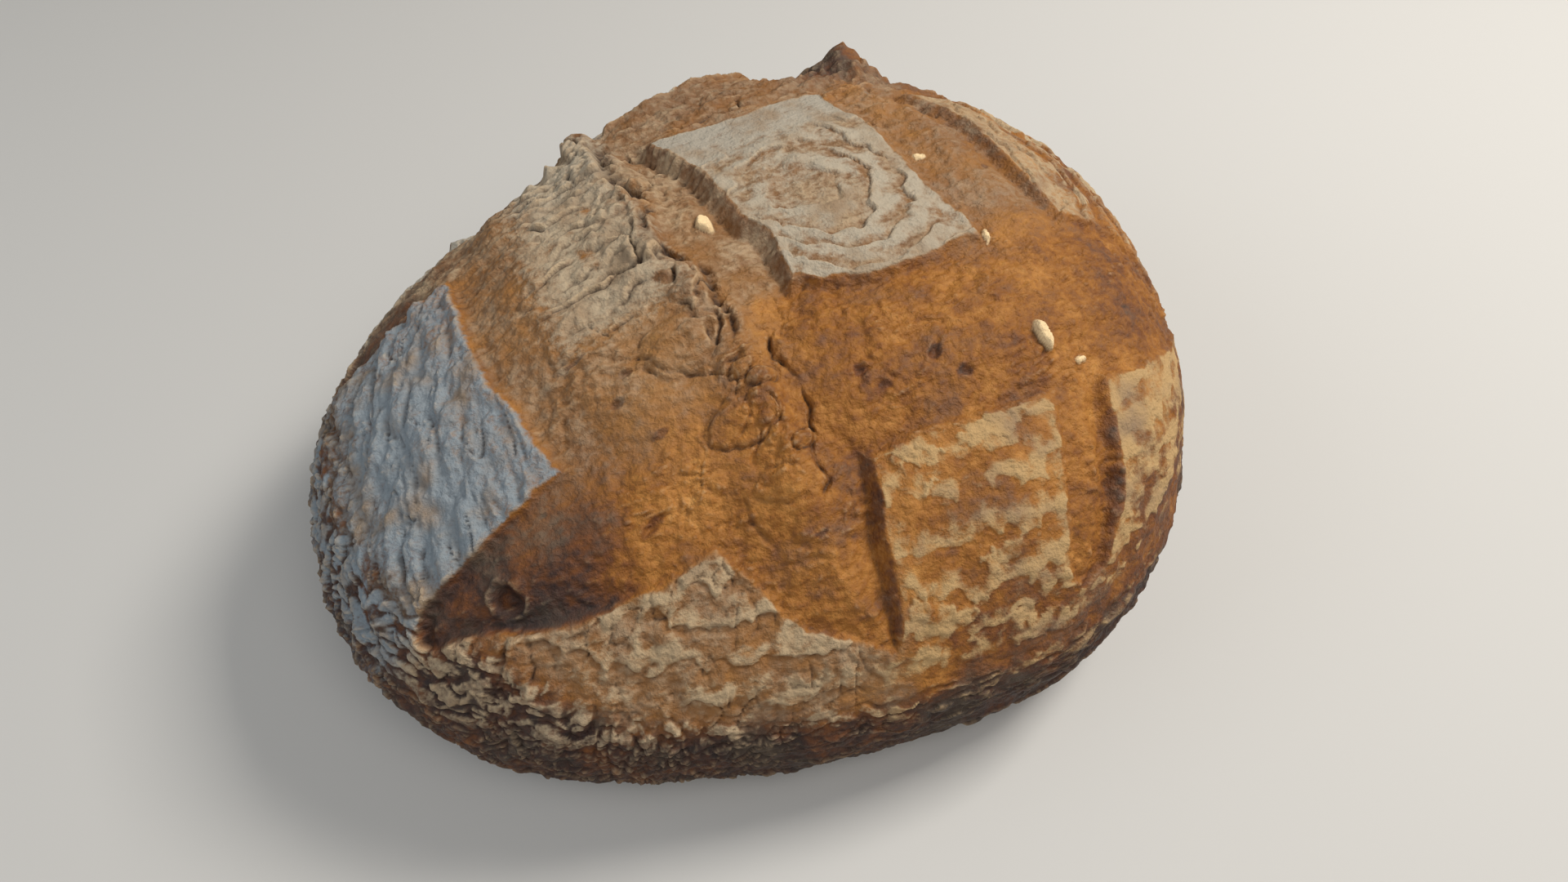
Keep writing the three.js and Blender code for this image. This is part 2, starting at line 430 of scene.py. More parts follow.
# Cracks: the line's points, its width and its depth.
CRACKS = [
    ([(-30, 60), (-32, 48), (-33, 36), (-32, 24), (-27, 14)], 1.9, 5.0),
    ([(-27, 14), (-31, 10), (-33, 3), (-30, -4), (-27, -9)], 1.2, 3.0),
    ([(-27, -9), (-29, -17), (-31, -26), (-31, -34), (-33, -41)], 1.1, 3.0),
    ([(-24, -42), (-25, -49), (-22, -55), (-21, -58)], 0.7, 1.8),
    ([(-21, -58), (-20, -65), (-22, -71), (-24, -74), (-21, -80), (-25, -84)], 0.6, 1.6),
    ([(-50, -25), (-48, -33), (-44, -39), (-40, -43), (-34, -44.5), (-28, -44)], 0.5, 1),
    ([(-37, -38), (-34, -34), (-33, -30), (-35, -26)], 0.6, 1.6),
    ([(-41, -51), (-45, -54), (-46.5, -58), (-43, -61), (-40, -63), (-35, -65), (-29, -63), (-26, -60)],
     0.45, 0.9),
    ([(-43, -71), (-43, -76), (-41, -82), (-38, -88)], 0.5, 0.7),
    ([(-48, 16), (-43, 15), (-38, 13), (-34, 13)], 0.5, 1),
    ([(-49, -3), (-44, -2), (-39, -4), (-34, -2)], 0.6, 1.2),
    ([(-37, 47), (-31, 41), (-26, 45), (-24, 52)], 0.6, 1.6),
    ([(-14, 56), (-6, 51), (4, 52), (12, 50), (14, 58)], 0.65, 1.5),
    ([(-30, 30), (-24, 32), (-19, 33)], 0.6, 1),
]

# Rounded lumps and plates: centre, half-sizes, turn in degrees, height.
LUMPS = [
    ((-34, -47.5), (3.4, 2.2), -10, 1.5),
    ((-29.5, -52.5), (4.2, 2.2), -20, 1.8),
    ((-24.5, -70), (3.6, 2.2), 0, 1.6),
    ((-41, -56), (5.4, 4.6), 10, 1.1),
    ((-43, -31), (6.5, 8.5), 10, 1.3),
    ((-33, -75.5), (7.5, 3.4), -24, 0.8),
    ((-38, 41), (4.5, 4.0), 0, 1.8),
    ((-28, 27), (2.8, 4.0), 0, 1.8),
    ((-95, -66), (3.2, 5.0), -20, 1.4),
]

# Burst bubbles and pits: centre, half-sizes, turn in degrees, depth.
PITS = [
    ((-90.5, -54), (2.6, 3.7), 12, 3.8),
    ((-62, -63.5), (3.0, 1.8), 15, 1.3),
    ((-39, 41), (1.3, 1.4), 0, 2.2),
    ((-3, -61), (2.4, 1.5), 0, 1.1),
    ((17, -58), (2.3, 1.6), 25, 1.2),
    ((2, -65.5), (2.0, 1.4), 0, 0.9),
    ((22, -63.5), (2.3, 1.3), 20, 1.0),
    ((-60, -19.5), (3.0, 0.9), 0, 1.1),
    ((-57, -34), (1.7, 1.4), 30, 0.8),
    ((-53, -29.5), (1.6, 1.3), 0, 0.8),
    ((-53.5, -47.5), (2.2, 1.6), 0, 0.7),
    ((-27, -88.3), (2.0, 0.7), 0, 1.1),
    ((-78, -45), (0.9, 0.9), 0, 0.7),
    ((53, -2.5), (1.6, 1.0), 10, 0.8),
    ((46, 37), (1.6, 2.4), 10, 1.0),
    ((70, -51), (1.2, 0.8), 0, 0.6),
]

# Crumbs of dough baked on: centre, half-sizes, turn in degrees, height.
CRUMBS = [
    ((43, -56.5), (1.7, 4.0), 8, 2.2),
    ((-18, 4), (2.1, 3.2), 8, 2.0),
    ((40.5, -25), (0.9, 1.7), 0, 1.4),
    ((51.5, -63), (1.5, 1.0), 20, 1.2),
    ((38, 5), (1.6, 1.0), 0, 0.7),
]

# Plates of caked flour with a place of their own: centre, half-sizes, turn in degrees.
PLATES = [
    ((26, -76), (13, 2.6), 17),
    ((4, -81.5), (7, 2.0), -3),
    ((4, -88.3), (3.0, 1.0), 5),
    ((19, -104), (6.5, 1.8), 12),
    ((-3, -112), (5.5, 2.4), -24),
    ((6, -114.5), (4.5, 2.8), 10),
    ((31, -110), (6.5, 2.6), 5),
    ((-10, -119.5), (7.5, 2.4), -8),
    ((30, -121), (11, 2.6), 8),
    ((-101, -57), (6.5, 2.4), -50),
    ((-95, -66), (3.4, 5.4), -20),
    ((-76, -75), (7.5, 2.8), -42),
    ((-63, -79), (7.5, 2.2), -28),
    ((-55, -85), (7, 2.2), -45),
    ((-70, -83), (8, 1.6), -42),
    ((-83, -84), (2.4, 5.5), -15),
    ((-76, -103), (7.5, 2.2), -32),
    ((-63, -103), (6.5, 3.2), -35),
    ((-52, -107), (6.5, 3.2), -22),
    ((-45, -114), (8, 3.2), -10),
    ((-29, -113.5), (9, 3.0), -10),
    ((-62, -115), (5.5, 1.8), -35),
]


def oval_shape(flat, centre, sizes, turn):
    """Distance from an oval's centre, 1 on its edge."""
    angle = math.radians(turn)
    gap = flat - centre
    long_way = gap[:, 0] * math.cos(angle) + gap[:, 1] * math.sin(angle)
    short_way = -gap[:, 0] * math.sin(angle) + gap[:, 1] * math.cos(angle)
    return np.hypot(long_way / sizes[0], short_way / sizes[1])


def near(crust, points, margin):
    """Vertices in the box round a list of places, widened by a margin."""
    points = np.array(points, float)
    low, high = points.min(axis=0) - margin, points.max(axis=0) + margin
    return np.flatnonzero(np.all((crust.flat > low) & (crust.flat < high), axis=1))


def strengthen(mask, chosen, value):
    """Raises a mask to a value at the chosen vertices, where it is lower."""
    mask[chosen] = np.maximum(mask[chosen], value)


def draw_cracks(crust, flat, marks):
    """Grooves that run out at both ends and are deeper in some places than in others."""
    uneven = 0.55 + 0.45 * smooth(-0.5, 0.4, noise(crust.flat, 6, 45))
    for points, width, depth in CRACKS:
        chosen = near(crust, points, 6)
        distance, along = line_distance(flat[chosen], points)
        taper = smooth(0, 0.15, along) * smooth(1, 0.85, along)
        line = np.exp(-((distance / (width * (0.4 + 0.6 * taper))) ** 2)) * taper * uneven[chosen]
        marks.relief[chosen] -= depth * line
        # The crack mask darkens each crack with painted shade, more in the deep ones.
        strengthen(marks.crack, chosen, (0.6 + 0.2 * depth) * line)


def each_oval(crust, flat, ovals):
    """For each oval of a table: the vertices near it, their distances in it, and any height or depth."""
    for centre, sizes, turn, *last in ovals:
        chosen = near(crust, [centre], 3 * max(sizes))
        yield chosen, oval_shape(flat[chosen], centre, sizes, turn), *last


def draw_lumps(crust, flat, marks):
    """Round-topped lumps, each in a shallow moat."""
    for chosen, edge, height in each_oval(crust, flat, LUMPS):
        moat = bell(edge, 1.08, 0.12)
        marks.relief[chosen] += height * (np.sqrt(np.clip(1 - edge ** 2, 0, 1)) - 0.25 * moat)
        # The moat round each lump is darkened with painted shade through the crack mask.
        strengthen(marks.crack, chosen, 0.35 * moat)


def draw_pits(crust, flat, marks):
    """Holes with a low rim, which is higher round the deep ones."""
    for chosen, edge, depth in each_oval(crust, flat, PITS):
        rim = 0.05 * depth ** 2 * bell(edge, 1.3, 0.24)
        marks.relief[chosen] += rim - 0.8 * depth * (1 - smooth(0.15, 1.15, edge))
        # The pit mask later darkens each pit with painted shade.
        strengthen(marks.pit, chosen, 1 - smooth(0.7, 1.15, edge))


def draw_crumbs(crust, flat, marks):
    """Flat-topped crumbs standing on the crust."""
    for chosen, edge, height in each_oval(crust, flat, CRUMBS):
        marks.relief[chosen] += height * (1 - smooth(0.62, 1.12, edge))
        strengthen(marks.crumb, chosen, 1 - smooth(0.8, 1.1, edge))


def draw_plates(crust, marks):
    """Plates of flour with a ragged outline. They are only a mask here."""
    ragged = crust.flat + 2.2 * drift(crust.flat, 5, (43, 44), 3)
    for chosen, edge in each_oval(crust, ragged, PLATES):
        strengthen(marks.plate, chosen, 1 - smooth(0.85, 1.1, edge))


def hand_marks(crust):
    """Relief and masks of the cracks, lumps, pits, crumbs and plates that have a place of their own."""
    flat = crust.flat + 0.7 * drift(crust.flat, 5, (41, 42))
    names = ("relief", "crack", "pit", "crumb", "plate")
    marks = SimpleNamespace(**{name: np.zeros(len(flat)) for name in names})
    draw_cracks(crust, flat, marks)
    draw_lumps(crust, flat, marks)
    draw_pits(crust, flat, marks)
    draw_crumbs(crust, flat, marks)
    draw_plates(crust, marks)
    for name in names:
        setattr(marks, name, getattr(marks, name) * crust.dome)
    return marks


# ---------------- surface textures

def frac(value):
    return value - np.floor(value)


def billow(points, size, seed, octaves=1):
    """Rounded swellings about 0 to 1 high, with sharp valleys at 0 between them."""
    total = np.zeros(len(points))
    for octave in range(octaves):
        total += 0.5 ** octave * np.abs(gradient_noise(points * (2 ** octave / size), seed + octave))
    return total * NOISE_GAIN


def wander(points, size, amount, seed):
    """Points moved about by slow noise, so that patterns drawn on them bend."""
    return points + amount * drift(points, size, [seed + 5 * axis for axis in range(points.shape[1])])


def patch(crust, area):
    """1 inside one of the AREAS, fading to 0 across its soft border, which is centred on its edges."""
    right, rear, soft = area
    gap = np.minimum(crust.right - right[0], right[1] - crust.right)
    gap = np.minimum(gap, np.minimum(crust.rear - rear[0], rear[1] - crust.rear))
    return smooth(-soft / 2, soft / 2, gap)


def crinkles(crust, cut, strata_zone):
    """Small sharp-valleyed wrinkles: strongest on the left, quiet on old skin, and drawn out at the rear."""
    strength = 0.85 + 0.35 * smooth(-20, -40, crust.right) - 0.45 * cut.on_skin
    strength = strength - 0.6 * patch(crust, AREAS.dark_corner) - 0.6 * strata_zone
    stretched = smooth(-5, 30, crust.rear) * cut.in_cut
    uneven = smooth(-0.9, 0.5, noise(crust.base, 20, 201, 2))
    strength = strength * (1 - stretched) * uneven * crust.off_base

    def wrinkles(points):
        return billow(wander(points * (0.6, 1, 1), 8, 2.0, 203), 4.0, 205, 3) - 0.4

    def long_wrinkles(flat):
        return billow(wander(flat * (0.38, 1), 9, 1.8, 207), 4.6, 209, 2) - 0.4

    return (only_where(strength, wrinkles, crust.base) * mix(0.9, 0.6, cut.on_skin)
            + 1.2 * only_where(stretched * crust.dome, long_wrinkles, crust.flat))


STRATA_PITCH = 6.0  # from one torn layer to the next


def strata(crust, cut):
    """Stretched crust left of the tear, torn into thin terraces with a crack along each front edge."""
    ragged_border = smooth(-0.9, 0.2, noise(crust.flat, 10, 59, 3) + 0.55)
    zone = patch(crust, AREAS.strata) * ragged_border * cut.in_cut * crust.dome
    chosen = zone > FAINT
    flat = crust.flat[chosen]
    warp = 2.8 * noise(flat, 26, 51) - 2.4 * billow(flat, 13, 53) + 1.2 * noise(flat, 6, 55, 2)
    layer = frac((flat[:, 1] + warp) / STRATA_PITCH)
    patchy = smooth(-0.6, 0.3, noise(flat * (0.6, 1), 9, 57, 2)) * zone[chosen]
    lines = np.zeros(len(zone))
    # The lines sink the relief and darken the colour with painted shade at each terrace's front edge.
    lines[chosen] = bell(layer, 0.95, 0.08) * patchy
    relief = np.zeros(len(zone))
    relief[chosen] = 1.4 * (1 - layer) ** 1.2 * smooth(0, 0.12, layer) * patchy
    return SimpleNamespace(relief=relief - 0.7 * lines, zone=zone, lines=lines)


# The tear: the places to the rear, and how far to the right the ridge runs there.
TEAR_ROWS = [(-90, -27), (-60, -29), (-45, -32), (-20, -33), (60, -33)]
TEAR_WIDTHS = (7.5, 3.6)  # how far the ridge spreads to its left and to its right
FURROW_PLACE = 8  # how far right of the ridge the furrow runs


def tear(crust):
    """The lumpy ridge where the widest cut tore open, and the furrow on its right."""
    middle = np.interp(crust.rear, *np.array(TEAR_ROWS).T)
    across = crust.right - middle + noise(crust.flat, 12, 61) * 2
    width = mix(*TEAR_WIDTHS, smooth(-1, 1, across))
    zone = bell(across, 0, width) * patch(crust, AREAS.tear) * crust.dome
    rough = zone * smooth(-74, -38, crust.rear) * (1 - 0.5 * smooth(20, 45, crust.rear))

    def lumps(flat):
        nearest, second, mark, _ = cells(wander(flat, 9, 3.2, 63) * (1, 0.7), 7.5, 65)
        gap = second - nearest
        chunk = 3.0 * (mark - 0.35) * smooth(0.0, 0.16, gap) + 1.4 * (1 - nearest ** 2)
        crack = (1 - smooth(0.02, 0.12, gap)) * smooth(-0.2, 0.5, noise(flat, 9, 67))
        return chunk - 1.5 * crack + 0.6 * noise(flat, 4, 69, 3)

    furrow = bell(across, FURROW_PLACE, 5) * patch(crust, AREAS.furrow) * crust.dome
    relief = 2.3 * zone - 1.3 * furrow + only_where(rough, lumps, crust.flat)
    return SimpleNamespace(relief=relief, rough=rough)


def blisters(crust):
    """Smooth swollen plates in front of the tear, with thin cracks round some of them."""
    zone = patch(crust, AREAS.blisters) * crust.dome

    def plates(flat):
        nearest, second, mark, _ = cells(wander(flat, 14, 4, 71), 13, 73)
        crack = (1 - smooth(0.0, 0.06, second - nearest)) * smooth(0.0, 0.5, noise(flat, 12, 75))
        return (1 - nearest ** 2) * mark - 0.9 * crack

    return SimpleNamespace(relief=only_where(zone, plates, crust.flat), zone=zone)


PITTED_FROM = 0.7  # cells of the bloom with a number above this have a pit


def bloom_texture(crust, cut):
    """Soft dents, fine wrinkles and a few pits on the crust that swelled out of the cuts."""
    zone = cut.in_cut * crust.dome
    relief = zone * (0.50 * noise(crust.base, 11, 81, 3) + 0.32 * noise(crust.base, 2.6, 84, 2))

    def pits(points):
        nearest, _, mark, offset = cells(wander(points, 5, 1.2, 86), 8, 88)
        extra = mark - PITTED_FROM
        size = 0.07 + 0.5 * extra
        stretched = nearest * (1 + 0.8 * np.abs(offset[:, 1]) / (nearest + 0.05))
        return -(0.25 + 1.6 * extra) * (1 - smooth(size * 0.3, size, stretched)) * (extra > 0)

    creases = smooth(0.12, 0.0, billow(wander(crust.base, 20, 5, 181), 16, 183))
    creases = creases * smooth(0.1, 0.6, noise(crust.base, 17, 185))
    return relief - 0.45 * creases * zone + only_where(zone, pits, crust.base)


def ring_phase(crust):
    """Place between two basket rings, 0 to 1 going outwards, with the rings' own waviness."""
    distance = np.hypot(crust.right - RING_CENTRE[0], crust.rear - RING_CENTRE[1])
    flat = crust.flat
    warp = 3.4 * noise(flat, 24, 91, 2) + 2.8 * billow(flat, 9, 93) + 0.8 * noise(flat, 3, 95)
    return frac((distance + warp) / RING_PITCH), smooth(4, 9, distance)


def band_blocks(crust, zone):
    """Cracks that break the flour bands of the front left panel into blocks, along and across the rings."""
    across_rings, along_rings = 6.5, 5.5
    gap = crust.flat - RING_CENTRE
    distance = np.hypot(*gap.T)
    way_round = np.arctan2(gap[:, 1], gap[:, 0]) * distance.mean()
    drawn = wander(np.stack([distance / across_rings, way_round / along_rings], axis=1), 2.2, 0.5, 211)

    def cracks(points):
        nearest, second, mark, _ = cells(points, 1, 213)
        return (1 - smooth(0.02, 0.2, second - nearest)) * (0.2 + 0.8 * mark)

    return only_where(zone, cracks, drawn)


def skin_texture(crust, cut):
    """Basket rings as ledges of flour and dough: their relief, and how much flour each place kept."""
    zone = cut.on_skin * crust.dome
    phase, off_centre = ring_phase(crust)
    front = smooth(-40, -60, crust.rear)
    inner_ledge = smooth(0, 0.1, phase) * (1 - phase) ** 0.8
    front_phase = frac(phase + FRONT_RING_SHIFT)
    outer_ledge = front_phase ** 0.7 * smooth(1, 0.88, front_phase)
    quiet = patch(crust, AREAS.quiet_rings)
    left = patch(crust, AREAS.left_panel)
    strength = off_centre * (1 - quiet) * (1 - 0.9 * left) * (1 - smooth(120, 132, crust.reach))
    strength = strength * smooth(-1.0, 0.1, noise(crust.flat, 10, 97, 2))
    grain = 0.40 * noise(crust.base, 6, 99, 3) * (1 - 0.6 * quiet)
    ledge = mix(1.25 * inner_ledge, mix(1.0, 0.4, smooth(-25, -8, crust.right)) * outer_ledge, front)
    band = smooth(0, 0.1, phase) * smooth(0.85, 0.35, phase)
    band = mix(band, smooth(0.3, 0.75, front_phase) * smooth(1, 0.92, front_phase), front)
    return SimpleNamespace(
        relief=zone * (ledge * strength + grain), band=band * strength, quiet=quiet, left=left,
    )


def caked_flour(crust, cut):
    """Plates of caked flour left on the front and right panels and the side below them."""
    zone = cut.on_skin * crust.off_base * smooth(62, 80, crust.reach)

    def cover(points):
        drawn = wander(points, 8, 1.5, 105) / (17, 17, 6.5)
        field = gradient_noise(drawn, 101) + 0.5 * gradient_noise(drawn * 2.3, 102)
        field += 0.35 * gradient_noise(drawn * 5.1, 103)
        return smooth(0.34, 0.46, field)

    return only_where(zone, cover, crust.round)


CLUMP_LENGTHS = (5.6, 14)  # of the side's clumps, round the loaf: at the sides and rear, and at the front
CLUMP_HEIGHT = 3.3  # of the clumps, down the side


def side_clumps(crust, cut):
    """Overlapping clumps of crust and flour round the lower side, drawn out along it at the front."""
    front = smooth(-0.2, -0.85, np.sin(crust.angle)) * smooth(-0.75, -0.3, np.cos(crust.angle))
    zone = smooth(-10, 4, crust.reach - crust.dark_from) * crust.off_base * (1 - cut.in_cut)
    zone = np.maximum(zone, 0.6 * patch(crust, AREAS.left_corner_side) * cut.on_skin * crust.off_base)

    def height(points, drawn_out):
        length = mix(*CLUMP_LENGTHS, drawn_out)[:, None]
        sizes = np.concatenate([length, length, np.full((len(points), 1), CLUMP_HEIGHT)], axis=1)
        moved = wander(wander(points, 16, 3.0, 111), 4, 0.9, 114)
        nearest, second, mark, _ = cells(moved / sizes, 1, 117)
        body = smooth(0.0, 0.25, second - nearest) * (0.2 + 0.8 * mark)
        return 0.7 * body + 0.75 * billow(moved / sizes, 1.5, 118, 2) + 0.12 * billow(moved, 2.4, 119)

    return SimpleNamespace(height=only_where(zone, height, crust.round, front), zone=zone, front=front)


def left_skin(crust, cut, left):
    """The left panel's wrinkled flour: ridges running front to rear, and thin cracks along them."""
    zone = left * cut.on_skin * crust.dome

    def wrinkles(flat):
        leaning = np.stack([flat[:, 0] - 0.25 * flat[:, 1], flat[:, 1] * 0.36], axis=1)
        moved = wander(leaning, 9, 1.6, 121)
        cracks = smooth(0.06, 0.0, billow(moved, 7, 125)) * smooth(-0.1, 0.4, noise(flat, 12, 127, 2))
        return 1.35 * billow(moved, 6.5, 123, 3) + 0.3 * noise(flat, 3, 129, 2) - 0.9 * cracks

    return only_where(zone, wrinkles, crust.flat)


# ---------------- the whole crust

def neighbour_average(values, quads, rounds):
    """Values averaged over each vertex's neighbours, several times."""
    edges = np.concatenate([quads[:, [0, 1]], quads[:, [1, 2]], quads[:, [2, 3]], quads[:, [3, 0]]])
    count = np.bincount(edges.ravel(), minlength=len(values))
    for _ in range(rounds):
        total = np.bincount(edges[:, 0], values[edges[:, 1]], len(values))
        total += np.bincount(edges[:, 1], values[edges[:, 0]], len(values))
        values = 0.5 * values + 0.5 * total / count
    return values


def survey(crust):
    """Every cut, mark and texture that the crust's relief and coat are worked out from."""
    cut = cut_field(crust)
    layers = strata(crust, cut)
    skin = skin_texture(crust, cut)
    front_left_panel = smooth(-46, -62, crust.rear) * smooth(-12, -28, crust.right) * cut.on_skin * crust.dome
    cracked = front_left_panel * smooth(-0.5, 0.2, noise(crust.flat, 14, 215))
    return SimpleNamespace(
        cut=cut, marks=hand_marks(crust), strata=layers, tear=tear(crust), blisters=blisters(crust),
        crinkles=crinkles(crust, cut, layers.zone), bloom=bloom_texture(crust, cut), skin=skin,
        caked=caked_flour(crust, cut), clumps=side_clumps(crust, cut), blocks=band_blocks(crust, cracked),
        left_skin=left_skin(crust, cut, skin.left),
    )


def total_relief(crust, seen):
    """How far each vertex stands out from the plain loaf."""
    smooth_crust = 1 - seen.tear.rough
    quieter_behind = 1 - 0.6 * smooth(0.1, 0.7, np.sin(crust.angle))
    broad = 1.2 * noise(crust.base, 62, 131, 2) + 0.5 * noise(crust.base, 22, 133, 2)
    texture = seen.strata.relief * smooth_crust + seen.tear.relief + seen.blisters.relief * smooth_crust
    texture = texture + seen.crinkles + seen.bloom + seen.skin.relief + 0.15 * seen.caked
    texture = texture + 0.4 * seen.marks.plate + 1.35 * seen.clumps.height * quieter_behind
    texture = texture + seen.left_skin - 0.7 * seen.blocks + seen.marks.relief
    return (cut_relief(crust, seen.cut) + ear_relief(crust) + dip_relief(crust) + broad * crust.off_base
            + texture * crust.off_base + 0.10 * noise(crust.base, 1.6, 135, 2))


def move_vertices(crust, relief):
    """Sets every vertex's place in space, none of them under the base."""
    crust.position = crust.base + crust.normal * relief[:, None]
    crust.position[:, 2] = np.maximum(crust.position[:, 2], 0)


def coat_masks(crust, seen, relief):
    """The masks that the material reads. Some of them paint light and shade into the colour: shade in
    hollows, cracks and pits, and a highlight on crests.
    """
    marks = seen.marks
    close = neighbour_average(relief, crust.quads, 5)
    wide = neighbour_average(close, crust.quads, 40)
    # Painted shade in hollows: darker where a vertex lies below its neighbours' average.
    hollow_shade = 0.55 * smooth(0.04, 0.55, close - relief) + 0.55 * smooth(0.25, 1.6, wide - relief)
    # Painted shade along cracks, lump moats, terrace edges and the cracks between flour blocks.
    lines = 0.45 * marks.crack + 0.45 * seen.strata.lines + 0.18 * seen.blocks
    coat = {
        "bake_and_shade": bake_and_shade_mask(crust, seen),
        "pale": pale_mask(crust, seen),
        "flour": flour_mask(crust, seen),
        "tint_and_cool_light": tint_and_cool_light_mask(crust, seen),
        "crevice_shade": (hollow_shade * (1 - 0.8 * marks.pit) + lines) * (1 - marks.crumb),
        # Painted highlight on crests: lighter where a vertex stands above its neighbours.
        "crest_highlight": smooth(0.05, 0.5, relief - close),
        "crumb": marks.crumb,
    }
    return {name: np.clip(value, 0, 1) for name, value in coat.items()}


def painted_wall_shade(cut):
    """1 on the deep walls at the cuts' edges, where little light gets in: painted shade that darkens the
    crust's colour there.
    """
    return np.exp(-np.maximum(cut.inside, 0) / 2.6) * smooth(0.8, 3.2, cut.depth) * cut.in_cut


def bake_and_shade_mask(crust, seen):
    """How dark the bare crust is drawn: 0 is barely coloured, 1 nearly black. Most of it is the crust's own
    bake; the deep cut walls, the pits and the lower side are darkened with painted shade.
    """
    right, rear, reach = crust.right, crust.rear, crust.reach
    in_cut = seen.cut.in_cut
    mottle = noise(crust.base, 24, 141, 3)
    right_cut_middle = bell(right, 46, 6) * patch(crust, AREAS.right_cut_front)
    peak = smooth(15, 5, np.hypot(right - 51, rear - 65)) * smooth(57, 49, right)
    right_front = smooth(-10, 20, right) * smooth(0, -30, rear)

    bake_and_shade = 0.42 + 0.09 * mottle
    bake_and_shade += 0.06 * patch(crust, AREAS.front_cut_middle) * in_cut
    corner = smooth(-50, -90, right) * patch(crust, AREAS.dark_corner_floor) * in_cut
    bake_and_shade += (0.31 + 0.10 * mottle) * corner
    bake_and_shade += 0.40 * smooth(-70, -90, right) * smooth(26, 36, rear)
    bake_and_shade -= 0.04 * right_cut_middle * in_cut
    bake_and_shade -= 0.10 * seen.blisters.zone
    # Painted shade on the deep walls at the cuts' edges.
    bake_and_shade += 0.38 * painted_wall_shade(seen.cut) + 0.20 * seen.tear.rough
    bake_and_shade += 0.36 * peak
    bake_and_shade += 0.12 * smooth(30, 60, rear) + 0.08 * smooth(40, 90, right)
    bake_and_shade += 0.16 * smooth(100, 126, reach) * right_front
    # Darker towards the bottom: painted shade on the lower side and the left panel's lower part, which face
    # down and away from the light.
    bake_and_shade = mix(bake_and_shade, 0.82, seen.skin.left * smooth(88, 112, reach))
    bake_and_shade = mix(bake_and_shade, 0.88 + 0.08 * mottle, smooth(-6, 8, reach - crust.dark_from))
    # Painted shade inside the pits and the burst bubble.
    return mix(bake_and_shade, 0.80, 0.60 * seen.marks.pit)


def pale_mask(crust, seen):
    """How far the crust was stretched pale and greyish instead of browning."""
    right, rear = crust.right, crust.rear
    cut = seen.cut
    rear_cut = mix(0.55, 0.2, smooth(24, 44, right)) * smooth(30, 52, rear)
    beside_panel = 0.65 * patch(crust, AREAS.beside_panel)
    right_cut = 0.38 * patch(crust, AREAS.right_cut)
    rear_left = 0.75 * patch(crust, AREAS.rear_left) * cut.in_cut
    left_cut = 0.5 * patch(crust, AREAS.left_cut) * cut.in_cut
    centre_panel = 0.75 * patch(crust, AREAS.centre_panel) * cut.on_skin
    front_panels = mix(0.5, 0, smooth(-20, -5, right)) * cut.on_skin
    pale = np.max([0.9 * seen.strata.zone, rear_left, left_cut, rear_cut, beside_panel, right_cut,
                   centre_panel, front_panels], axis=0)
    pale = mix(pale, 0.55, 0.7 * seen.tear.rough * smooth(-50, -20, rear))
    pale = pale * (1 - smooth(-6, 6, crust.reach - crust.dark_from))
    return mix(pale, 1, seen.marks.crumb)


def flour_mask(crust, seen):
    """How much flour covers each place: on the middle panels first, then on what lies round them."""
    right, rear, reach = crust.right, crust.rear, crust.reach
    cut, skin, clumps = seen.cut, seen.skin, seen.clumps
    rim = smooth(-5, -0.5, cut.inside)
    blotches = noise(crust.flat, 5, 223, 2)
    caked = np.maximum(0.7 * seen.caked * smooth(100, 116, reach), seen.marks.plate)
    caked = caked * (1 + 0.6 * blotches)
    at_front = smooth(-44, -62, rear)
    at_right = smooth(50, 56, right) * (1 - at_front)

    flour = 0.40 + 0.46 * skin.band + 0.50 * skin.quiet + 0.25 * rim + 0.22 * blotches

    more_to_right = 0.20 * smooth(12, 36, right) + 0.20 * smooth(46, 56, right)
    banded = 0.66 * skin.band + more_to_right * smooth(124, 110, reach)
    on_plates = mix(0.25, 0.50, smooth(-25, -8, right)) * caked
    flour = mix(flour, 0.06 + banded + 0.22 * rim + on_plates + 0.3 * blotches, at_front)

    lower_right = 0.12 + 0.3 * skin.band + 0.65 * seen.caked
    flour = mix(flour, mix(0.66, lower_right, smooth(70, 84, right)), at_right)

    patchy = 0.14 * smooth(0.0, 0.6, noise(crust.flat * (1, 0.5), 9, 221, 2))
    toward_rear = 0.16 * smooth(0, 30, rear)
    inner_edge = 0.20 * smooth(-92, -74, right)
    on_left = 0.95 - 0.22 * smooth(96, 122, reach) - patchy - toward_rear - inner_edge
    flour = mix(flour, on_left, skin.left)

    # Flour on the clumps' tops: partly real flour on the raised clumps, partly a painted highlight where the
    # tops catch the light.
    tops = smooth(0.50, 0.92, clumps.height + 0.2 * blotches)
    fading = 1 - 0.9 * smooth(124, 143, reach + 5 * noise(crust.flat, 20, 225))
    on_clumps = (0.62 + 0.34 * clumps.front) * tops * fading
    on_clumps = 0.02 + on_clumps + mix(0.10, 0.28, clumps.front) * caked * fading
    flour = mix(flour, on_clumps + 0.24 * skin.left, clumps.zone)

    flour = flour * (1 - 0.9 * smooth(WAIST_REACH - 6, RIM_REACH - 6, reach)) * cut.on_skin
    in_cuts = 0.10 * smooth(20, 60, rear) + 0.76 * seen.strata.zone
    return mix(flour + in_cuts * (1 - cut.on_skin), 1, seen.marks.crumb)


